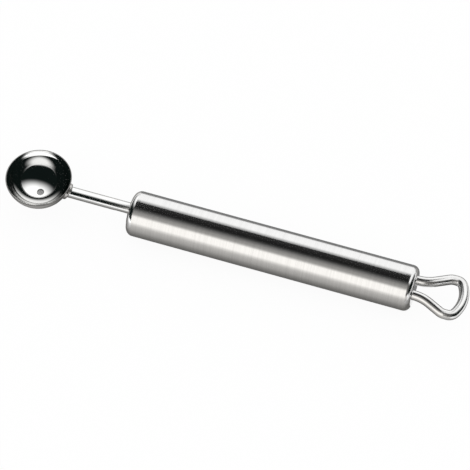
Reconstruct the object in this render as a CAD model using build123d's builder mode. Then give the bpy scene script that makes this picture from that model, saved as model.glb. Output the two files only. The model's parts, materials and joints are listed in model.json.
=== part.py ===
from build123d import *
import os
from math import asin, cos, degrees, radians, sin, sqrt

# Melon baller, lying on its handle with the bowl's mouth up.
# +X runs along the handle from the bowl to the hanging loop, +Z is up out of the bowl.
# The origin is below the middle of the tool, on the surface that the handle lies on. Millimetres.

# Bowl: part of a pressed ball, cut off a little below the ball's middle, with a vent hole in its bottom
bowl_inner_diameter = 26.5
bowl_wall = 0.8
rim_drop = 1.8
rim_round = 0.1
vent_diameter = 2.6
vent_chamfer = 0.2

# Neck: a solid rod from the bowl's outer wall to the inside of the front cap
neck_diameter = 4.9
bowl_standoff = 40.7
neck_tang = 7.0

# Heights over the handle's centre line
neck_rise = 2.6
loop_rise = 1.65
rim_rise = 7.3

# Handle: a hollow tube between two caps
handle_diameter = 19.4
handle_length = 123.2
tube_wall = 0.8
cap_wall = 1.5
cap_shoulder = 3.0
cap_skirt = 1.0
spigot_length = 3.0
spigot_clearance = 0.05
rod_clearance = 0.03

# Hanging loop: one round wire with two legs in the rear cap
loop_wire_diameter = 4.2
loop_leg_spacing = 7.2
loop_width = 21.0
loop_exit = 0.2
loop_flare_radius = 16.0
loop_flare_angle = 27
loop_side_radius = 5.0
loop_side_flat = 1.1
loop_corner_radius = 3.2
loop_bow_radius = 14.0
leg_tang = 6.0

# Welds
bowl_bead = 1.1
bowl_bead_round = 0.55
inner_bead = 0.6
inner_bead_toe = 0.1
seam_width = 0.8
seam_depth = 0.45

# Length added to a cutting tool past the surface that it cuts
overrun = 1.0

# Worked out from the sizes above
bowl_inner_radius = bowl_inner_diameter / 2
bowl_outer_radius = bowl_inner_radius + bowl_wall
rim_inner_radius = sqrt(bowl_inner_radius**2 - rim_drop**2)
rim_outer_radius = sqrt(bowl_outer_radius**2 - rim_drop**2)
neck_radius = neck_diameter / 2
handle_radius = handle_diameter / 2
wire_radius = loop_wire_diameter / 2
cap_depth = cap_shoulder + cap_skirt
cap_inner_radius = handle_radius - cap_wall
tube_inner_radius = handle_radius - tube_wall
spigot_radius = tube_inner_radius - spigot_clearance

# The loop's outline, measured back from the rear cap's face and out from the handle's line.
# A leg flares outwards on one arc, runs straight, and turns parallel to the handle on a second arc.
# After a short flat it rounds a corner into the bowed end.
flare_turn = radians(loop_flare_angle)
leg_y = loop_leg_spacing / 2
side_y = loop_width / 2 - wire_radius
flare_radii = loop_flare_radius + loop_side_radius
flare_run = (side_y - leg_y - flare_radii * (1 - cos(flare_turn))) / sin(flare_turn)
side_x = loop_exit + flare_radii * sin(flare_turn) + flare_run * cos(flare_turn)
corner_x = side_x + loop_side_flat
corner_y = side_y - loop_corner_radius
corner_gap = loop_bow_radius - loop_corner_radius
bow_x = corner_x - sqrt(corner_gap**2 - corner_y**2)
bow_angle = degrees(asin(corner_y / corner_gap))
loop_projection = bow_x + loop_bow_radius + wire_radius

# The bowl is widest at the outer rounding of its rim
rounding_drop = rim_drop + rim_round
bowl_reach = sqrt((bowl_outer_radius - rim_round) ** 2 - rounding_drop**2) + rim_round
overall_length = bowl_reach + bowl_standoff + handle_length + loop_projection
bowl_x = bowl_reach - overall_length / 2
front_face_x = bowl_x + bowl_standoff
rear_face_x = front_face_x + handle_length
axis_height = handle_radius
neck_height = axis_height + neck_rise
loop_height = axis_height + loop_rise
rim_height = axis_height + rim_rise

handle_axis = Axis((0, 0, axis_height), (1, 0, 0))
bowl_centre = (bowl_x, 0, rim_height + rim_drop)


def bar(start_x, end_x, y, z, radius):
    """A round bar along X, as a sketch on its start plane pushed to its end."""
    with BuildPart() as blank:
        with BuildSketch(Plane(origin=(start_x, y, z), x_dir=(0, 1, 0), z_dir=(1, 0, 0))):
            Circle(radius)
        extrude(amount=end_x - start_x)
    return blank.part


def cap_blank(face_x, inward):
    """A turned cap without its holes. inward is the X direction from its end face into the handle."""
    section_plane = Plane(origin=(face_x, 0, axis_height), x_dir=(inward, 0, 0), z_dir=(0, -inward, 0))
    shoulder_inner = cap_shoulder - cap_wall
    spigot_end = cap_depth + spigot_length
    with BuildPart() as blank:
        with BuildSketch(section_plane):
            with BuildLine():
                Line((0, 0), (0, handle_radius - cap_shoulder))
                RadiusArc((0, handle_radius - cap_shoulder), (cap_shoulder, handle_radius), cap_shoulder)
                Polyline(
                    (cap_shoulder, handle_radius),
                    (cap_depth - seam_width / 2, handle_radius),
                    (cap_depth, handle_radius - seam_depth),
                    (cap_depth, spigot_radius),
                    (spigot_end, spigot_radius),
                    (spigot_end, cap_inner_radius),
                    (cap_shoulder, cap_inner_radius),
                )
                RadiusArc(
                    (cap_shoulder, cap_inner_radius),
                    (cap_wall, cap_inner_radius - shoulder_inner),
                    -shoulder_inner,
                )
                Polyline((cap_wall, cap_inner_radius - shoulder_inner), (cap_wall, 0), (0, 0))
            make_face()
        revolve(axis=handle_axis)
    return blank.part


def seam_ring(x):
    """A ring weld in the groove between a cap and the tube, flush with both."""
    with BuildPart() as ring:
        with BuildSketch(Plane(origin=(x, 0, axis_height), x_dir=(1, 0, 0), z_dir=(0, -1, 0))):
            with BuildLine():
                Polyline(
                    (-seam_width / 2, handle_radius),
                    (seam_width / 2, handle_radius),
                    (0, handle_radius - seam_depth),
                    close=True,
                )
            make_face()
        revolve(axis=handle_axis)
    return ring.part


def inner_weld(inner_face_x, inward, y, z, radius):
    """A weld bead round a rod where it comes through a cap's inner face."""
    with BuildPart() as bead:
        with BuildSketch(Plane(origin=(inner_face_x, y, z), x_dir=(inward, 0, 0), z_dir=(0, -inward, 0))):
            with BuildLine():
                Polyline(
                    (0, radius),
                    (0, radius + inner_bead),
                    (inner_bead_toe, radius + inner_bead),
                    (inner_bead, radius + inner_bead_toe),
                    (inner_bead, radius),
                    close=True,
                )
            make_face()
        revolve(axis=Axis((inner_face_x, y, z), (1, 0, 0)))
    return bead.part


# Scoop bowl: the wall's half section turned about the upright axis, then pierced at the bottom
with BuildPart() as scoop_bowl:
    with BuildSketch(Plane(origin=bowl_centre, x_dir=(1, 0, 0), z_dir=(0, -1, 0))):
        with BuildLine():
            Line((rim_inner_radius, -rim_drop), (rim_outer_radius, -rim_drop))
            RadiusArc((rim_outer_radius, -rim_drop), (0, -bowl_outer_radius), bowl_outer_radius)
            Line((0, -bowl_outer_radius), (0, -bowl_inner_radius))
            RadiusArc((0, -bowl_inner_radius), (rim_inner_radius, -rim_drop), -bowl_inner_radius)
        make_face()
    revolve(axis=Axis(bowl_centre, (0, 0, 1)))
    rim_edges = scoop_bowl.edges().filter_by(GeomType.CIRCLE).group_by(Axis.Z)[-1]
    fillet(rim_edges, radius=rim_round)
    with BuildSketch(Plane.XY.offset(rim_height + rim_drop - bowl_outer_radius - overrun)):
        with Locations((bowl_x, 0)):
            Circle(vent_diameter / 2)
    extrude(amount=bowl_wall + 2 * overrun, mode=Mode.SUBTRACT)
    vent_edges = scoop_bowl.edges().filter_by(
        lambda edge: edge.geom_type == GeomType.CIRCLE and edge.radius < bowl_inner_radius / 2
    )
    chamfer(vent_edges, length=vent_chamfer)
scoop_bowl.part.label = "scoop_bowl"

# Neck rod: its front end is shaped to the outside of the bowl
neck_end_x = front_face_x + cap_wall + neck_tang
with BuildPart() as neck_rod:
    add(bar(bowl_x + neck_radius, neck_end_x, 0, neck_height, neck_radius))
    with Locations(bowl_centre):
        Sphere(bowl_outer_radius, mode=Mode.SUBTRACT)
neck_rod.part.label = "neck_rod"

# Bowl weld: a bead on the bowl's outer wall round the rod
bead_radius = neck_radius + bowl_bead
bead_reach = bowl_outer_radius + bowl_bead
with BuildPart() as bowl_weld:
    add(bar(bowl_x + neck_radius, bowl_x + bead_reach + overrun, 0, neck_height, bead_radius))
    with Locations(bowl_centre):
        Sphere(bead_reach, mode=Mode.INTERSECT)
        Sphere(bowl_outer_radius, mode=Mode.SUBTRACT)
    outer_edges = bowl_weld.edges().sort_by(Axis.X)[-1:]
    fillet(outer_edges, radius=bowl_bead_round)
    add(bar(bowl_x, bowl_x + bead_reach + overrun, 0, neck_height, neck_radius), mode=Mode.SUBTRACT)
bowl_weld.part.label = "bowl_weld"

# Caps, with a hole for the neck in the front and two for the loop's legs in the rear
leg_offsets = {"left": leg_y, "right": -leg_y}
with BuildPart() as front_cap:
    add(cap_blank(front_face_x, 1))
    hole_end_x = front_face_x + cap_wall + overrun
    add(
        bar(front_face_x - overrun, hole_end_x, 0, neck_height, neck_radius + rod_clearance),
        mode=Mode.SUBTRACT,
    )
front_cap.part.label = "front_cap"

with BuildPart() as rear_cap:
    add(cap_blank(rear_face_x, -1))
    for y in leg_offsets.values():
        hole_start_x = rear_face_x - cap_wall - overrun
        add(
            bar(hole_start_x, rear_face_x + overrun, y, loop_height, wire_radius + rod_clearance),
            mode=Mode.SUBTRACT,
        )
rear_cap.part.label = "rear_cap"

# Handle tube: bevelled at both ends for the ring welds
tube_start_x = front_face_x + cap_depth
tube_length = handle_length - 2 * cap_depth
with BuildPart() as handle_tube:
    with BuildSketch(Plane(origin=(tube_start_x, 0, axis_height), x_dir=(1, 0, 0), z_dir=(0, -1, 0))):
        with BuildLine():
            Polyline(
                (0, tube_inner_radius),
                (0, handle_radius - seam_depth),
                (seam_width / 2, handle_radius),
                (tube_length - seam_width / 2, handle_radius),
                (tube_length, handle_radius - seam_depth),
                (tube_length, tube_inner_radius),
                close=True,
            )
        make_face()
    revolve(axis=handle_axis)
handle_tube.part.label = "handle_tube"

front_seam_weld = seam_ring(tube_start_x)
front_seam_weld.label = "front_seam_weld"
rear_seam_weld = seam_ring(tube_start_x + tube_length)
rear_seam_weld.label = "rear_seam_weld"

neck_inner_weld = inner_weld(front_face_x + cap_wall, 1, 0, neck_height, neck_radius)
neck_inner_weld.label = "neck_inner_weld"
loop_inner_welds = {}
for side, y in leg_offsets.items():
    weld = inner_weld(rear_face_x - cap_wall, -1, y, loop_height, wire_radius)
    weld.label = "loop_inner_weld_" + side
    loop_inner_welds[side] = weld

# Hanging loop: the wire's centre line in the plane of the legs, swept with the wire's round section
flare_end = (
    loop_exit + loop_flare_radius * sin(flare_turn),
    leg_y + loop_flare_radius * (1 - cos(flare_turn)),
)
side_start = (
    side_x - loop_side_radius * sin(flare_turn),
    side_y - loop_side_radius * (1 - cos(flare_turn)),
)
loop_plane = Plane(origin=(rear_face_x, 0, loop_height), x_dir=(1, 0, 0), z_dir=(0, 0, 1))
leg_start_x = -cap_wall - leg_tang
with BuildPart() as hanging_loop:
    with BuildLine(loop_plane) as loop_path:
        for s in (1, -1):
            Line((leg_start_x, s * leg_y), (loop_exit, s * leg_y))
            flare_y = leg_y + loop_flare_radius
            CenterArc((loop_exit, s * flare_y), loop_flare_radius, -90 * s, loop_flare_angle * s)
            Line((flare_end[0], s * flare_end[1]), (side_start[0], s * side_start[1]))
            CenterArc(
                (side_x, s * (side_y - loop_side_radius)),
                loop_side_radius,
                (90 + loop_flare_angle) * s,
                -loop_flare_angle * s,
            )
            Line((side_x, s * side_y), (corner_x, s * side_y))
            CenterArc((corner_x, s * corner_y), loop_corner_radius, 90 * s, (bow_angle - 90) * s)
        CenterArc((bow_x, 0), loop_bow_radius, -bow_angle, 2 * bow_angle)
    with BuildSketch(
        Plane(origin=(rear_face_x + leg_start_x, leg_y, loop_height), x_dir=(0, 1, 0), z_dir=(1, 0, 0))
    ):
        Circle(wire_radius)
    sweep(path=loop_path.wire())
hanging_loop.part.label = "hanging_loop"

pieces = [
    scoop_bowl.part,
    bowl_weld.part,
    neck_rod.part,
    front_cap.part,
    neck_inner_weld,
    front_seam_weld,
    handle_tube.part,
    rear_seam_weld,
    rear_cap.part,
    hanging_loop.part,
    *loop_inner_welds.values(),
]

os.makedirs("parts", exist_ok=True)
for piece in pieces:
    export_step(piece, f"parts/{piece.label}.step")
    print(piece.label, "volume", round(piece.volume, 1), "mm3")
wire_length = sum(edge.length for edge in loop_path.edges())
print("overall length", round(overall_length, 2), "mm, loop wire", round(wire_length, 2), "mm")
print("loop reaches", round(loop_projection, 2), "mm from the cap, straight run", round(flare_run, 2), "mm")
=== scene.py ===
# %% [markdown]
# # A melon baller in polished and satin steel
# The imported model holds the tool's twelve pieces at their real size, in metres. The handle lies
# along X on the floor, the bowl's mouth looks up along Z, and the hanging loop is at high X. It is
# loaded into an empty file, so Blender's start-up objects go first.
# This lesson gives each piece its finish and then lights it the way polished metal has to be lit:
# metal shows its surroundings, so most of the work is in what stands round it.

# %% Load the frame
import bpy
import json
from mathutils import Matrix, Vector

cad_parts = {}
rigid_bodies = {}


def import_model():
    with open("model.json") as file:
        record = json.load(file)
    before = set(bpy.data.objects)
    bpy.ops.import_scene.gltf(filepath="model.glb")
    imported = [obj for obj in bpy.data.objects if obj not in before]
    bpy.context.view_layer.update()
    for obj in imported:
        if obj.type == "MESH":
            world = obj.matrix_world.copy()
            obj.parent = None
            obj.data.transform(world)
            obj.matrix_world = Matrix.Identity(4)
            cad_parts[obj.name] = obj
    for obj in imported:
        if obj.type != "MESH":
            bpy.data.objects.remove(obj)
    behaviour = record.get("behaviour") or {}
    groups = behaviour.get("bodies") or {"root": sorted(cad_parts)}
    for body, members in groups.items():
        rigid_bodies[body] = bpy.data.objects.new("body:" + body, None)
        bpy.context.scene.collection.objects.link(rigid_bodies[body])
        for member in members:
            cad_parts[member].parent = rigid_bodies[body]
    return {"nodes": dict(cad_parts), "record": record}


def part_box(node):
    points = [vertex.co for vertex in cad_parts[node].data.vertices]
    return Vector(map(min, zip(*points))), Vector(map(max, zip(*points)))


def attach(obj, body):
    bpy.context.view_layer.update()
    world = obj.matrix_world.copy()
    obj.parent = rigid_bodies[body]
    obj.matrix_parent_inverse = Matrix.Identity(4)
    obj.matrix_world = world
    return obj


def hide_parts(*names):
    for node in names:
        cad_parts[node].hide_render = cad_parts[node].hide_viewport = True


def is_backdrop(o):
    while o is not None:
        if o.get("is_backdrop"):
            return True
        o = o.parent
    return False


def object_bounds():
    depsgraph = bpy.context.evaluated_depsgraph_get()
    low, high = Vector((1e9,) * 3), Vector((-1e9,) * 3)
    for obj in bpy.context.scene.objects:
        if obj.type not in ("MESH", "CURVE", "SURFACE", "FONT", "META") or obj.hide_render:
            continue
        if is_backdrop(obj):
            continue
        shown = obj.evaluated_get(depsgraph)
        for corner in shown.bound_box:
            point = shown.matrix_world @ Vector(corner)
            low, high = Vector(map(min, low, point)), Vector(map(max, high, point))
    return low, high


for leftover in list(bpy.data.objects):
    bpy.data.objects.remove(leftover)
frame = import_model()
import json
from math import asin, cos, degrees, pi, radians, sin

from mathutils import Vector

MM = 0.001
nodes = frame["nodes"]
cad_bounds = [list(corner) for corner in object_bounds()]


def in_mm(lengths):
    """Lengths in metres, as rounded millimetres for printing."""
    return [round(length / MM, 2) for length in lengths]


print("pieces:", len(nodes), "box:", [in_mm(corner) for corner in cad_bounds], "mm")

# %% [markdown]
# ## Where things are
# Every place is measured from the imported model, so that nothing here has to be fitted by hand.
# The handle's tube gives the handle's centre line and its middle, which the camera and the light
# tent are placed from. The bowl and the loop give the places of the two pieces drawn again here.

# %% Measure the frame
tube_low, tube_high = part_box("handle_tube")
bowl_low, bowl_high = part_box("scoop_bowl")
loop_low, loop_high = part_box("hanging_loop")
handle_middle = (tube_low + tube_high) / 2
bowl_middle = (bowl_low + bowl_high) / 2
front_face_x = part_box("front_cap")[0].x
rear_face_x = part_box("rear_cap")[1].x
print("handle's middle", in_mm(handle_middle), "faces at x", in_mm([front_face_x, rear_face_x]))

# %% [markdown]
# ## Shader arithmetic
# A material is a small program. Written as nodes by hand it is hard to read, so a socket is
# wrapped in a class that understands + - * / and a tree of nodes in one that adds any other node.
# A formula in Python then becomes its Math nodes. The same class serves the world and Geometry
# Nodes too.

# %% A wrapped socket
class Value:
    """An output socket. Arithmetic on a number adds Math nodes to its tree."""

    def __init__(self, tree, socket):
        self.tree = tree
        self.socket = socket

    def __add__(self, other):
        return self.tree.math("ADD", self, other)

    def __sub__(self, other):
        return self.tree.math("SUBTRACT", self, other)

    def __rsub__(self, other):
        return self.tree.math("SUBTRACT", other, self)

    def __mul__(self, other):
        return self.tree.math("MULTIPLY", self, other)

    def __truediv__(self, other):
        return self.tree.math("DIVIDE", self, other)

    __radd__ = __add__
    __rmul__ = __mul__


# %% A tree of nodes
class Tree:
    """The nodes of one material, of the world or of a Geometry Nodes group."""

    def __init__(self, owner):
        self.owner = owner
        is_group = isinstance(owner, bpy.types.NodeTree)
        if not is_group:
            owner.use_nodes = True
        group = owner if is_group else owner.node_tree
        self.nodes = group.nodes
        self.links = group.links
        self.nodes.clear()

    def add(self, kind, settings=None, sockets=(), output=0):
        """Adds a node. Its settings come first, then its sockets, as values or as links."""
        node = self.nodes.new(kind)
        for name, value in (settings or {}).items():
            if name == "stops":
                self.set_stops(node, value)
            else:
                setattr(node, name, value)
        pairs = sockets.items() if isinstance(sockets, dict) else enumerate(sockets)
        for key, value in pairs:
            if isinstance(value, Value):
                self.links.new(value.socket, node.inputs[key])
            else:
                node.inputs[key].default_value = value
        return Value(self, node.outputs[output]) if node.outputs else node

    def set_stops(self, ramp, stops):
        """Gives a colour ramp its stops, each a position and a grey level."""
        elements = ramp.color_ramp.elements
        while len(elements) < len(stops):
            elements.new(1.0)
        for element, (position, level) in zip(elements, stops):
            element.position = position
            element.color = grey(level)

    def outputs(self, kind, sockets=()):
        """Adds a node and gives all its outputs by name."""
        node = self.add(kind, sockets=sockets).socket.node
        return {socket.name: Value(self, socket) for socket in node.outputs}

    def math(self, operation, *values):
        return self.add("ShaderNodeMath", {"operation": operation}, values)

    def coordinates(self, which="Object"):
        return self.outputs("ShaderNodeTexCoord")[which]

    def parts(self, vector):
        """The X, Y and Z of a vector."""
        return self.outputs("ShaderNodeSeparateXYZ", [vector]).values()

    def distance(self, across, along):
        return self.math("SQRT", across * across + along * along)

    def rise(self, value, start, end):
        """0 up to start, 1 from end on, and a smooth step between them."""
        settings = {"interpolation_type": "SMOOTHSTEP"}
        return self.add("ShaderNodeMapRange", settings, [value, start, end, 0.0, 1.0])

    def blend(self, factor, low, high):
        """A colour between two others. Sockets 6 and 7 are the Mix node's colours A and B."""
        sockets = {"Factor": factor, 6: low, 7: high}
        return self.add("ShaderNodeMix", {"data_type": "RGBA"}, sockets, output=2)

    def stretched(self, place, scale):
        """Coordinates that stretch a pattern where the scale is under 1."""
        return self.add("ShaderNodeMapping", sockets={"Vector": place, "Scale": scale})

    def noise(self, place, scale, detail):
        sockets = {"Vector": place, "Scale": scale, "Detail": detail}
        return self.add("ShaderNodeTexNoise", sockets=sockets)

    def bump(self, height, strength, depth):
        sockets = {"Strength": strength, "Distance": depth, "Height": height}
        return self.add("ShaderNodeBump", sockets=sockets)


def grey(level):
    return (level, level, level, 1.0)


# %% [markdown]
# ## Polished steel
# The bowl, the neck and the loop are buffed on a wheel until they reflect like a mirror. Such a
# surface still has faint wiping marks and hair-fine scratches. They hardly change the colour,
# so they go into the roughness and into a very low bump. The neck and the loop are buffed less
# than the bowl. Round the mouth a fine dark line is painted at the rim's outer corner: a painted
# dark reflection, which makes the metal darker there.

# %% Polished steel
POLISHED_COLOUR = (0.80, 0.798, 0.79, 1.0)
POLISHED_SHADE = (0.74, 0.738, 0.73, 1.0)
POLISHED_ROUGHNESS = 0.04
SMEAR_SCALE = 140.0
SMEAR_SPREAD = (0.35, 0.75)
SMEAR_ROUGHNESS = 0.04
HAIR_SCALE = 5200.0
HAIR_STRETCH = (0.25, 1.0, 1.0)
HAIR_STRENGTH = 0.02
HAIR_DEPTH = 0.02 * MM
WIRE_ROUGHNESS = 0.13
WIRE_FADE = 1 * MM
# The colour and size of the painted dark reflection along the rim's outer corner.
RIM_DARK_REFLECTION_COLOUR = (0.16, 0.155, 0.15, 1.0)
RIM_LINE_WIDTH = 0.32 * MM
RIM_LINE_SOFTNESS = 0.05 * MM
RIM_LINE_DEPTH = 0.4 * MM


def steel(tree, colour, roughness, bump):
    """The metal shader that every finish here ends in."""
    sockets = {"Base Color": colour, "Metallic": 1.0, "Roughness": roughness, "Normal": bump}
    shader = tree.add("ShaderNodeBsdfPrincipled", sockets=sockets)
    tree.add("ShaderNodeOutputMaterial", sockets={"Surface": shader})
    return tree.owner


def polished_steel():
    tree = Tree(bpy.data.materials.new("polished_steel"))
    place = tree.coordinates()
    x, y, z = tree.parts(place)
    smears = tree.noise(place, SMEAR_SCALE, detail=3)
    hairs = tree.noise(tree.stretched(place, HAIR_STRETCH), HAIR_SCALE, detail=2)
    colour = tree.blend(tree.rise(smears, *SMEAR_SPREAD), POLISHED_COLOUR, POLISHED_SHADE)
    # A painted dark reflection: a fine ring of darker colour at the rim's outer corner, where the
    # corner only reflects something dark.
    line_from = (bowl_high.y - bowl_low.y) / 2 - RIM_LINE_WIDTH
    line_top = bowl_high.z - RIM_LINE_DEPTH
    from_axis = tree.distance(x - bowl_middle.x, y)
    on_painted_rim_reflection = tree.rise(from_axis, line_from - RIM_LINE_SOFTNESS, line_from + RIM_LINE_SOFTNESS)
    on_painted_rim_reflection = on_painted_rim_reflection * tree.rise(z, line_top, line_top + RIM_LINE_DEPTH / 2)
    colour = tree.blend(on_painted_rim_reflection, colour, RIM_DARK_REFLECTION_COLOUR)
    on_wire = tree.rise(x, bowl_high.x, bowl_high.x + WIRE_FADE)
    roughness = POLISHED_ROUGHNESS + smears * SMEAR_ROUGHNESS + on_wire * WIRE_ROUGHNESS
    return steel(tree, colour, roughness, tree.bump(hairs, HAIR_STRENGTH, HAIR_DEPTH))


finishes = {"polished_steel": polished_steel()}
print("polished steel of", len(finishes["polished_steel"].node_tree.nodes), "nodes")

# %% [markdown]
# ## Satin steel
# The handle is ground with a belt while it turns, so its fine lines run round it. They blur a
# reflection along the handle and leave it fairly sharp round it, which is why the handle shows
# long bands of light and dark. The lines are noise that is squeezed along X.

# %% Satin steel
SATIN_COLOUR = (0.80, 0.798, 0.792, 1.0)
SATIN_SHADE = (0.72, 0.718, 0.712, 1.0)
SATIN_ROUGHNESS = 0.12
LINE_STRETCH = (1.0, 0.015, 0.015)
FINE_SCALE = 4200.0
FINE_SHARE = 0.6
COARSE_SCALE = 900.0
LINE_SPREAD = (0.35, 0.7)
LINE_ROUGHNESS = 0.04
LINE_STRENGTH = 0.07
LINE_DEPTH = 0.03 * MM
CLOUD_SCALE = 60.0
CLOUD_ROUGHNESS = 0.03


def satin_steel():
    tree = Tree(bpy.data.materials.new("satin_steel"))
    place = tree.coordinates()
    squeezed = tree.stretched(place, LINE_STRETCH)
    fine = tree.noise(squeezed, FINE_SCALE, detail=3)
    coarse = tree.noise(squeezed, COARSE_SCALE, detail=2)
    clouds = tree.noise(place, CLOUD_SCALE, detail=2)
    lines = fine * FINE_SHARE + coarse * (1 - FINE_SHARE)
    colour = tree.blend(tree.rise(lines, *LINE_SPREAD), SATIN_COLOUR, SATIN_SHADE)
    roughness = SATIN_ROUGHNESS + lines * LINE_ROUGHNESS + clouds * CLOUD_ROUGHNESS
    return steel(tree, colour, roughness, tree.bump(lines, LINE_STRENGTH, LINE_DEPTH))


finishes["satin_steel"] = satin_steel()
print("satin steel of", len(finishes["satin_steel"].node_tree.nodes), "nodes")

# %% [markdown]
# ## Weld metal
# The bead at the bowl is smoothed by hand and keeps a slightly duller, warmer tone. The beads
# inside the handle are left as they were laid. One patchy finish does for both.

# %% Weld metal
WELD_COLOUR = (0.56, 0.55, 0.535, 1.0)
WELD_SHADE = (0.36, 0.35, 0.335, 1.0)
WELD_ROUGHNESS = 0.16
PATCH_SCALE = 900.0
PATCH_SPREAD = (0.4, 0.7)
PATCH_ROUGHNESS = 0.2
PATCH_STRENGTH = 0.4
PATCH_DEPTH = 0.05 * MM


def weld_bead():
    tree = Tree(bpy.data.materials.new("weld_bead"))
    place = tree.coordinates()
    patches = tree.noise(place, PATCH_SCALE, detail=3)
    colour = tree.blend(tree.rise(patches, *PATCH_SPREAD), WELD_COLOUR, WELD_SHADE)
    roughness = WELD_ROUGHNESS + patches * PATCH_ROUGHNESS
    return steel(tree, colour, roughness, tree.bump(patches, PATCH_STRENGTH, PATCH_DEPTH))


finishes["weld_bead"] = weld_bead()

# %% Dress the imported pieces
for part in frame["record"]["subparts"]:
    for slot in nodes[part["node"]].material_slots:
        slot.material = finishes[part["material_slot"]]
    print(part["node"], "has", part["material_slot"])

# %% [markdown]
# ## Shapes that follow a rule
# Two pieces here follow a simple rule: the bowl is a section turned about an axis, and the loop is
# a round section drawn along a line. Geometry Nodes do both with the same few nodes, so what the
# two trees share comes first: the named inputs, the circle, the ending, and the step that turns
# the result into a plain mesh.

# %% Helpers for the two trees
def add_object(name, data):
    """A new object in the scene."""
    made = bpy.data.objects.new(name, data)
    bpy.context.scene.collection.objects.link(made)
    return made


def geometry_tree(name, sizes):
    """A new node tree with named inputs. Gives the tree and its inputs."""
    group = bpy.data.node_groups.new(name, "GeometryNodeTree")
    kinds = {"Geometry": "Geometry", **sizes, "Steps Round": "Int", "Finish": "Material"}
    for label, kind in kinds.items():
        group.interface.new_socket(label, in_out="INPUT", socket_type="NodeSocket" + kind)
    group.interface.new_socket("Geometry", in_out="OUTPUT", socket_type="NodeSocketGeometry")
    tree = Tree(group)
    return tree, tree.outputs("NodeGroupInput")


def circle(tree, radius, steps):
    sockets = {"Radius": radius, "Resolution": steps}
    return tree.add("GeometryNodeCurvePrimitiveCircle", sockets=sockets)


def finished(tree, mesh, finish):
    """The end of each tree: smooth shading, real geometry, and the finish."""
    smooth = tree.add("GeometryNodeSetShadeSmooth", sockets={"Geometry": mesh})
    real = tree.add("GeometryNodeRealizeInstances", sockets={"Geometry": smooth})
    dressed = tree.add("GeometryNodeSetMaterial", sockets={"Geometry": real, "Material": finish})
    tree.add("NodeGroupOutput", sockets={"Geometry": dressed})
    return tree.owner


# %% From a line of points to a plain mesh
def grown(name, line, closed, make_tree, values):
    """The plain mesh that a node tree makes from a line of points."""
    curve = bpy.data.curves.new(name + "_line", "CURVE")
    curve.dimensions = "3D"
    spline = curve.splines.new("POLY")
    spline.points.add(len(line) - 1)
    spline.use_cyclic_u = closed
    for point, place in zip(spline.points, line):
        point.co = (*place, 1)
    carrier = add_object(name + "_line", curve)
    modifier = carrier.modifiers.new(name, "NODES")
    modifier.node_group = make_tree(name)
    for item in modifier.node_group.interface.items_tree:
        if item.in_out == "INPUT" and item.name in values:
            modifier[item.identifier] = values[item.name]
    evaluated = carrier.evaluated_get(bpy.context.evaluated_depsgraph_get())
    mesh = bpy.data.meshes.new_from_object(evaluated)
    bpy.data.objects.remove(carrier)
    return add_object(name, mesh)


def box_of(piece):
    """The lowest and highest corners of a piece's mesh, in rounded millimetres."""
    along_axes = list(zip(*(vertex.co for vertex in piece.data.vertices)))
    return in_mm(map(min, along_axes)), in_mm(map(max, along_axes))


def volume_of(piece):
    """The volume in cubic millimetres. It is positive where the faces point outwards."""
    shares = [face.area * face.normal.dot(face.center) / 3 for face in piece.data.polygons]
    return round(sum(shares) / MM**3, 1)


# %% [markdown]
# ## The bowl
# The real bowl is pressed from sheet, and then its mouth is ground from the inside, so that the
# wall thins to an edge that cuts fruit. The grinding leaves a slightly flared band inside the rim.
# It is less than a millimetre deep, but a mirror shows it as a white crescent along the far side
# of the mouth. A turned section is the natural way to make it. The section is a list of points,
# across and up from the middle of the mouth: up the inside, over the rim, down the outside and
# through the vent. A turn is an angle below the level of a wall's centre, so that a right angle
# is the middle of the bottom.

# %% The bowl's sizes, in millimetres
INSIDE_RADIUS = 12.89
INSIDE_CENTRE = 1.5
OUTSIDE_RADIUS = 14.05
OUTSIDE_CENTRE = 1.8
GROUND_DEPTH = 0.73
GROUND_BAND = radians(8.8)
VENT_RADIUS = 1.3
VENT_CHAMFER = 0.2
RIM_CORNER_INSIDE = 0.08
RIM_CORNER_OUTSIDE = 0.16
SECTION_STEP = radians(0.7)
SEARCH_STEP = radians(0.02)
CORNER_STEPS = 8
STEPS_ROUND_BOWL = 180

mouth_turn = asin(INSIDE_CENTRE / INSIDE_RADIUS)
vent_edge = VENT_RADIUS + VENT_CHAMFER
print("the inside meets the mouth", round(degrees(mouth_turn), 1), "degrees below its centre")


# %% The two walls
def inside(turn):
    """A point of the inside. The ground band widens it steadily towards the rim."""
    radius = INSIDE_RADIUS + max(0, 1 - (turn - mouth_turn) / GROUND_BAND) * GROUND_DEPTH
    return Vector((radius * cos(turn), INSIDE_CENTRE - radius * sin(turn)))


def outside(turn):
    return Vector((OUTSIDE_RADIUS * cos(turn), OUTSIDE_CENTRE - OUTSIDE_RADIUS * sin(turn)))


def turn_below(wall, turn, depth):
    """The first turn, from the given one towards the vent, at which a wall is past a depth."""
    while wall(turn).y >= -depth:
        turn += SEARCH_STEP
    return turn


def turn_at_vent(wall, turn):
    """The first turn, from the given one on, at which a wall reaches the vent's chamfer."""
    while wall(turn).x >= vent_edge:
        turn += SEARCH_STEP
    return turn


def spaced(wall, first, last):
    """Points of a wall from the first turn to the last."""
    steps = round(abs(last - first) / SECTION_STEP)
    return [wall(first + (last - first) * k / steps) for k in range(steps + 1)]


rim_inside = turn_below(inside, 0, 0)
rim_outside = asin(OUTSIDE_CENTRE / OUTSIDE_RADIUS)
inner_top = turn_below(inside, rim_inside, RIM_CORNER_INSIDE)
outer_top = turn_below(outside, rim_outside, RIM_CORNER_OUTSIDE)
inner_wall = spaced(inside, turn_at_vent(inside, rim_inside), inner_top)
outer_wall = spaced(outside, outer_top, turn_at_vent(outside, rim_outside))
print("walls of", len(inner_wall), "and", len(outer_wall), "points")


# %% The whole section
def rounded(before, corner, after):
    """The inner points of a rounded corner."""
    shares = [k / CORNER_STEPS for k in range(1, CORNER_STEPS)]
    return [before * (1 - t) ** 2 + corner * 2 * t * (1 - t) + after * t**2 for t in shares]


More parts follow.
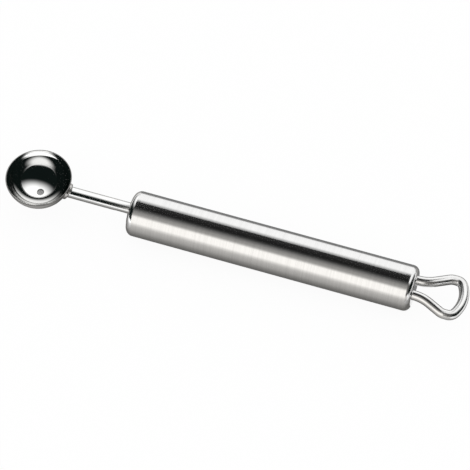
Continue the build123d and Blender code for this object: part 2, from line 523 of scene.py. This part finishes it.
inner_corner = Vector((inside(rim_inside).x, 0))
outer_corner = Vector((outside(rim_outside).x, 0))
rim_flat = [
    inner_corner + Vector((RIM_CORNER_INSIDE, 0)),
    outer_corner - Vector((RIM_CORNER_OUTSIDE, 0)),
]
vent_wall = [
    Vector((VENT_RADIUS, outer_wall[-1].y + VENT_CHAMFER)),
    Vector((VENT_RADIUS, inner_wall[0].y - VENT_CHAMFER)),
]
section = inner_wall + rounded(inner_wall[-1], inner_corner, rim_flat[0]) + rim_flat
section += rounded(rim_flat[1], outer_corner, outer_wall[0]) + outer_wall + vent_wall
rim_edges = round(inner_corner.x, 2), round(outer_corner.x, 2)
print("section of", len(section), "points, rim between", rim_edges, "mm")


# %% The section turned
def turned_tree(name):
    """Node tree: the curve is turned about an upright axis."""
    tree, given = geometry_tree(name, {"Turning Radius": "Float", "Place": "Vector"})
    path = circle(tree, given["Turning Radius"], given["Steps Round"])
    sockets = {"Curve": path, "Profile Curve": given["Geometry"]}
    turned = tree.add("GeometryNodeCurveToMesh", sockets=sockets)
    sockets = {"Geometry": turned, "Translation": given["Place"]}
    placed = tree.add("GeometryNodeTransform", sockets=sockets)
    return finished(tree, placed, given["Finish"])


turning_radius = INSIDE_RADIUS / 2
section_line = [Vector((point.x - turning_radius, -point.y, 0)) * MM for point in section]
bowl_values = {
    "Turning Radius": turning_radius * MM,
    "Place": Vector((bowl_middle.x, 0, bowl_high.z)),
    "Steps Round": STEPS_ROUND_BOWL,
    "Finish": finishes["polished_steel"],
}
bowl = grown("scoop_bowl_turned", section_line, True, turned_tree, bowl_values)
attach(bowl, "root")
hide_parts("scoop_bowl")
print("bowl", box_of(bowl), "packed", in_mm(bowl_low), in_mm(bowl_high))
print("bowl of", len(bowl.data.polygons), "faces,", volume_of(bowl), "cubic mm")

# %% [markdown]
# ## The hanging loop
# The real loop is one round wire, bent on a jig in one plane. Each leg leaves the rear cap, flares
# outwards, runs straight, turns parallel to the handle and rounds a corner into the bow. It could
# be modelled by hand along a curve, but a bent wire is a list of straight runs and turns, so that
# list is written here and a point is walked along it. Geometry Nodes then draw the wire's round
# section along the line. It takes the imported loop's place, at the same size, with a finer skin,
# because every facet of a polished wire shows.

# %% The bends of the wire, in millimetres and degrees
WIRE_RADIUS = 2.1
LEG_SPACING = 7.2
LEG_INSIDE = 7.5
LEG_OUTSIDE = 0.2
FLARE_RADIUS = 16.0
FLARE_ANGLE = 27.0
SIDE_RADIUS = 5.0
SIDE_FLAT = 1.1
SIDE_SPACING = 16.8
CORNER_RADIUS = 3.2
BOW_RADIUS = 14.0
TURN_STEP = 3.0
STEPS_ROUND_WIRE = 40

flare = radians(FLARE_ANGLE)
spread = (SIDE_SPACING - LEG_SPACING) / 2
flare_run = (spread - (FLARE_RADIUS + SIDE_RADIUS) * (1 - cos(flare))) / sin(flare)
bow_half = degrees(asin((SIDE_SPACING / 2 - CORNER_RADIUS) / (BOW_RADIUS - CORNER_RADIUS)))
half_bends = [
    (LEG_INSIDE + LEG_OUTSIDE, 0), (FLARE_RADIUS, FLARE_ANGLE), (flare_run, 0),
    (SIDE_RADIUS, -FLARE_ANGLE), (SIDE_FLAT, 0), (CORNER_RADIUS, bow_half - 90),
]
bends = half_bends + [(BOW_RADIUS, -2 * bow_half)] + half_bends[::-1]
print("straight run", round(flare_run, 2), "mm, bow of", round(2 * bow_half), "degrees")


# %% The wire's centre line
def walk(start, bends):
    """The points of a line that starts along X.

    A bend is a length and no turn, or a radius and a turn.
    """
    place = Vector(start)
    heading = 0.0
    points = [place.copy()]
    for size, turn in bends:
        steps = max(1, round(abs(turn) / TURN_STEP))
        for _ in range(steps):
            share = radians(turn) / steps
            stride = size if turn == 0 else 2 * size * abs(sin(share / 2))
            place += Vector((cos(heading + share / 2), sin(heading + share / 2), 0)) * stride
            heading += share
            points.append(place.copy())
    return points


leg_end = Vector((loop_low.x, 0, (loop_low.z + loop_high.z) / 2))
wire_line = [point * MM + leg_end for point in walk((0, LEG_SPACING / 2, 0), bends)]
print("wire line of", len(wire_line), "points, ends at", in_mm(wire_line[-1]))


# %% The wire drawn along it
def wire_tree(name):
    """Node tree: a round section is drawn along the curve."""
    tree, given = geometry_tree(name, {"Radius": "Float"})
    section = circle(tree, given["Radius"], given["Steps Round"])
    sockets = {"Curve": given["Geometry"], "Profile Curve": section, "Fill Caps": True}
    drawn = tree.add("GeometryNodeCurveToMesh", sockets=sockets)
    return finished(tree, drawn, given["Finish"])


wire_values = {
    "Radius": WIRE_RADIUS * MM,
    "Steps Round": STEPS_ROUND_WIRE,
    "Finish": finishes["polished_steel"],
}
loop_wire = grown("hanging_loop_wire", wire_line, False, wire_tree, wire_values)
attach(loop_wire, "root")
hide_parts("hanging_loop")
print("loop", box_of(loop_wire), "packed", in_mm(loop_low), in_mm(loop_high))
print("loop of", len(loop_wire.data.polygons), "faces,", volume_of(loop_wire), "cubic mm")

# %% [markdown]
# ## The camera
# The photograph looks down on the tool from a little under 60 degrees, turned slightly to the
# left, from about a metre away. The values come from fitting the outlines of the handle, the
# bowl, the neck and the loop in perspective.

# %% Place the camera
CAMERA_ELEVATION = radians(58.8)
CAMERA_AZIMUTH = radians(17.73)
CAMERA_DISTANCE = 1056.3 * MM
AIM_LEFT = 15.24 * MM
AIM_UP = 6.41 * MM
FOCAL_LENGTH = 195.12
NEAREST_SEEN = 50 * MM
FARTHEST_SEEN = 20.0

forward = Vector((
    -sin(CAMERA_AZIMUTH) * cos(CAMERA_ELEVATION),
    cos(CAMERA_AZIMUTH) * cos(CAMERA_ELEVATION),
    -sin(CAMERA_ELEVATION),
))
right = Vector((cos(CAMERA_AZIMUTH), sin(CAMERA_AZIMUTH), 0))
up = right.cross(forward)
camera = add_object("camera", bpy.data.cameras.new("camera"))
camera.data.lens = FOCAL_LENGTH
camera.data.clip_start = NEAREST_SEEN
camera.data.clip_end = FARTHEST_SEEN
camera.location = handle_middle - right * AIM_LEFT + up * AIM_UP - forward * CAMERA_DISTANCE
camera.rotation_mode = "QUATERNION"
camera.rotation_quaternion = forward.to_track_quat("-Z", "Y")
bpy.context.scene.camera = camera
print("camera at", in_mm(camera.location), "mm")

# %% [markdown]
# ## The studio
# A product photographer lights polished metal with one big soft light and keeps the rest of the
# room dark, because the dark parts give the metal its edges. Seen by the camera and by matt
# surfaces the world here is plain white. In reflections it is a dark room with a round soft
# light behind the tool, about halfway up, and a bright table in front. Directions are angles:
# the rise goes from the far horizon at 0 over the zenith at 90 to the near horizon at 180, and
# the lateral angle is positive on the loop's side. The table's sides are sines of that angle.

# %% The world
LIGHT_RISE = radians(46)
LIGHT_LATERAL = radians(-1.5)
LIGHT_EDGE = (radians(26), radians(63))
LIGHT_LEVEL = 1.38
TABLE_RISE = (radians(158.5), radians(170.5))
TABLE_LEFT = (sin(radians(-71)), sin(radians(-55)))
TABLE_RIGHT = (sin(radians(50)), sin(radians(75)))
TABLE_LEVEL = 1.6
DARK_ROOM = (0.0058, 0.0094, 0.0088, 1.0)

world = bpy.data.worlds.new("studio")
bpy.context.scene.world = world
tree = Tree(world)
x, y, z = tree.parts(tree.coordinates("Generated"))
aim = Vector((
    sin(LIGHT_LATERAL),
    cos(LIGHT_LATERAL) * cos(LIGHT_RISE),
    cos(LIGHT_LATERAL) * sin(LIGHT_RISE),
))
away = tree.math("ARCCOSINE", x * aim.x + y * aim.y + z * aim.z)
soft_light = (1 - tree.rise(away, *LIGHT_EDGE)) * LIGHT_LEVEL
rise = tree.math("ARCTAN2", z, y)
table = tree.rise(rise, *TABLE_RISE) * tree.rise(x, *TABLE_LEFT) * (1 - tree.rise(x, *TABLE_RIGHT))
level = soft_light + table * TABLE_LEVEL
reflected = tree.outputs("ShaderNodeLightPath")["Is Glossy Ray"]
strength = 1 + (level - 1) * reflected
bright = tree.add("ShaderNodeBackground", sockets={"Color": grey(1.0), "Strength": strength})
dark = tree.add("ShaderNodeBackground", sockets={"Color": DARK_ROOM, "Strength": reflected})
both = tree.add("ShaderNodeAddShader", sockets=[bright, dark])
tree.add("ShaderNodeOutputWorld", sockets={"Surface": both})
world.cycles.sampling_method = "NONE"
print("soft light from", [round(part, 2) for part in aim])

# %% [markdown]
# ## The floor
# A pale floor carries the tool. Part of its light is its own, for the camera and for the metal,
# so that it looks as white as the sweep behind it, and the rest keeps the tool's soft shadow.
# Under the bowl the floor is painted darker, because the bowl stands off it and shades it.

# %% The floor
FLOOR_SIZE = 6.0
FLOOR_COLOUR = 0.96
FLOOR_GLOW = 0.93
SHADE_COLOUR = 0.5
SHADE_EDGE = (0.5 * MM, 9 * MM)
SHADE_SHIFT = (-1.2 * MM, 3.8 * MM)


def shaped(name, corners, faces):
    """A new object from corners and faces."""
    mesh = bpy.data.meshes.new(name)
    mesh.from_pydata(corners, [], faces)
    return add_object(name, mesh)


half = FLOOR_SIZE / 2
corners = [(-half, -half, 0), (half, -half, 0), (half, half, 0), (-half, half, 0)]
floor = shaped("floor", corners, [(0, 1, 2, 3)])
tree = Tree(bpy.data.materials.new("floor"))
rays = tree.outputs("ShaderNodeLightPath")
seen = rays["Is Camera Ray"] + rays["Is Glossy Ray"] + rays["Is Transmission Ray"]
x, y, _ = tree.parts(tree.coordinates())
from_shade = tree.distance(x - (bowl_middle.x + SHADE_SHIFT[0]), y - SHADE_SHIFT[1])
open_floor = tree.rise(from_shade, *SHADE_EDGE)
paint = tree.blend(open_floor, grey(SHADE_COLOUR), grey(FLOOR_COLOUR))
matt = tree.add("ShaderNodeBsdfDiffuse", sockets={"Color": paint})
glow = tree.add("ShaderNodeEmission", sockets={"Color": grey(1.0), "Strength": 1.0})
mixed = tree.add("ShaderNodeMixShader", sockets=[seen * open_floor * FLOOR_GLOW, matt, glow])
tree.add("ShaderNodeOutputMaterial", sockets={"Surface": mixed})
tree.owner.cycles.emission_sampling = "NONE"
floor.data.materials.append(tree.owner)
floor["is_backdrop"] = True
print("floor of", FLOOR_SIZE, "m, shaded up to", in_mm(SHADE_EDGE)[1], "mm from under the bowl")

# %% [markdown]
# ## The light tent round the handle
# The handle is thick and satin, so it shows what stands close to it: a bright strip behind, a
# long black flag overhead, a bright sheet on the camera's side and a warm grey table. These stand
# in a tent, a half tube of glowing paper round the handle's centre line. Only reflections see it.
# A point's angle about the centre line says how bright the paper is there: 0 degrees is behind
# the tool, 90 is overhead and 180 is in front. The bowl must show the room and not the tent, so
# each paper has a sight: metal farther away than that doesn't see it. A short piece at the front
# gives the front cap's shoulder its light, with a sight that is too short for the neck. A piece
# at the rear, with stripes of its own, stands round the loop.

# %% Paper
SIGHT_EDGE_SHARE = 0.995
WARM_TINT = (1.0, 0.977, 0.945, 1.0)


def paper(name, stops, sight, position_of, low, high, warm):
    """Glowing paper whose brightness follows a position between low and high.

    Its tint turns from white to warm over the positions in warm, and its back is clear.
    """
    tree = Tree(bpy.data.materials.new(name))
    position = position_of(*tree.parts(tree.coordinates()))
    brightest = max(level for _, level in stops)
    shares = [((at - low) / (high - low), level / brightest) for at, level in stops]
    shade = tree.add("ShaderNodeValToRGB", {"stops": shares}, [(position - low) / (high - low)])
    tint = tree.blend(tree.rise(position, *warm), grey(1.0), WARM_TINT)
    colour = tree.add("ShaderNodeVectorMath", {"operation": "MULTIPLY"}, [shade, tint])
    glow = tree.add("ShaderNodeEmission", sockets={"Color": colour, "Strength": brightest})
    clear = tree.add("ShaderNodeBsdfTransparent")
    back = tree.outputs("ShaderNodeNewGeometry")["Backfacing"]
    length = tree.outputs("ShaderNodeLightPath")["Ray Length"]
    hidden = tree.math("MAXIMUM", back, tree.rise(length, sight * SIGHT_EDGE_SHARE, sight))
    mixed = tree.add("ShaderNodeMixShader", sockets=[hidden, glow, clear])
    tree.add("ShaderNodeOutputMaterial", sockets={"Surface": mixed})
    tree.owner.cycles.emission_sampling = "NONE"
    return tree.owner


def strip(name, outline, x_from, x_to, material):
    """A sheet with an outline across the tool, drawn out along it. Only reflections see it."""
    corners = [(x, y, z) for y, z in outline for x in (x_from, x_to)]
    faces = [(k, k + 1, k + 3, k + 2) for k in range(0, len(corners) - 2, 2)]
    made = shaped(name, corners, faces)
    made.data.materials.append(material)
    for kind in ("camera", "diffuse", "transmission", "volume_scatter", "shadow"):
        setattr(made, "visible_" + kind, False)
    made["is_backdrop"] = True
    print(name, "of", len(faces), "strips, x between", in_mm([x_from, x_to]), "mm")


# %% The tent
TENT_RADIUS = 45 * MM
TENT_STEPS = 48
TENT_FOOT = 3 * MM
PAPER_LIFT = 0.3 * MM
FRONT_OVERHANG = 9 * MM
REAR_OVERHANG = 10 * MM
FRONT_LENGTH = 13 * MM
TENT_END_X = 112 * MM
TENT_SIGHT = 55 * MM
FRONT_SIGHT = 39.5 * MM
LOOP_SIGHT = 70 * MM
TENT_STOPS = [
    (-20, 0.22), (1, 0.22), (8, 1.15), (48, 1.20), (54, 1.05), (63, 0.035), (92, 0.012),
    (99, 0.045), (106, 0.15), (116, 0.33), (126, 0.42), (131, 0.75), (136, 1.25), (163, 1.25),
    (171, 0.90), (181, 0.62), (192, 0.52), (200, 0.43), (207, 0.30), (220, 0.16),
]
LOOP_STOPS = [
    (-20, 0.25), (1, 0.40), (9, 1.10), (92, 1.20), (104, 0.16), (130, 0.12), (156, 0.16),
    (168, 0.85), (180, 0.55), (200, 0.40), (220, 0.25),
]


def angle_about_handle(x, y, z):
    return 90 - y.tree.math("ARCTAN2", y, z - handle_middle.z) * (180 / pi)


foot_turn = (handle_middle.z - PAPER_LIFT) / TENT_RADIUS
turns = [k / TENT_STEPS * (pi + 2 * foot_turn) - foot_turn for k in range(TENT_STEPS + 1)]
arch = [(TENT_RADIUS * cos(turn), handle_middle.z + TENT_RADIUS * sin(turn)) for turn in turns]
footed_arch = [(TENT_FOOT, PAPER_LIFT)] + arch + [(-TENT_FOOT, PAPER_LIFT)]
tent_front = front_face_x - FRONT_OVERHANG
tent_rear = rear_face_x + REAR_OVERHANG
about_handle = {"position_of": angle_about_handle, "low": -90, "high": 270, "warm": (92, 118)}
for name, outline, x_from, x_to, stops, sight in (
    ("tent", footed_arch, tent_front, tent_rear, TENT_STOPS, TENT_SIGHT),
    ("tent_front_end", arch, tent_front - FRONT_LENGTH, tent_front, TENT_STOPS, FRONT_SIGHT),
    ("tent_rear_end", arch, tent_rear, TENT_END_X, LOOP_STOPS, LOOP_SIGHT),
):
    strip(name, outline, x_from, x_to, paper(name, stops, sight, **about_handle))

# %% [markdown]
# ## The table cards
# The bowl's outside, the neck and the loop show the table under them. Two cards of the same
# paper lie just over the floor, before and behind the tent. They are brightest at their edges
# and dark under the tool, as a table is where the tool shades it.

# %% The cards
CARD_REACH = 90
CARD_SIGHT = 200 * MM
CARD_STOPS = [
    (-90, 0.90), (-40, 0.60), (-14, 0.34), (-2, 0.10),
    (4, 0.10), (20, 0.30), (60, 0.55), (90, 0.80),
]


def mm_across(x, y, z):
    return y / MM


across_table = {"position_of": mm_across, "low": -CARD_REACH, "high": CARD_REACH, "warm": (-40, 0)}
card_outline = [(-CARD_REACH * MM, PAPER_LIFT), (CARD_REACH * MM, PAPER_LIFT)]
for name, x_from, x_to in (
    ("table_card_front", -TENT_END_X, tent_front),
    ("table_card_rear", tent_rear, TENT_END_X),
):
    strip(name, card_outline, x_from, x_to, paper(name, CARD_STOPS, CARD_SIGHT, **across_table))

# %% [markdown]
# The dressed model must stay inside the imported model's box, so both boxes are written down. The
# plain view transform shows each colour as it was written.

# %% Finish
visual_bounds = [list(corner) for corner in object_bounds()]
bpy.context.scene.view_settings.view_transform = "Standard"
print("visual box:", [in_mm(corner) for corner in visual_bounds], "mm")
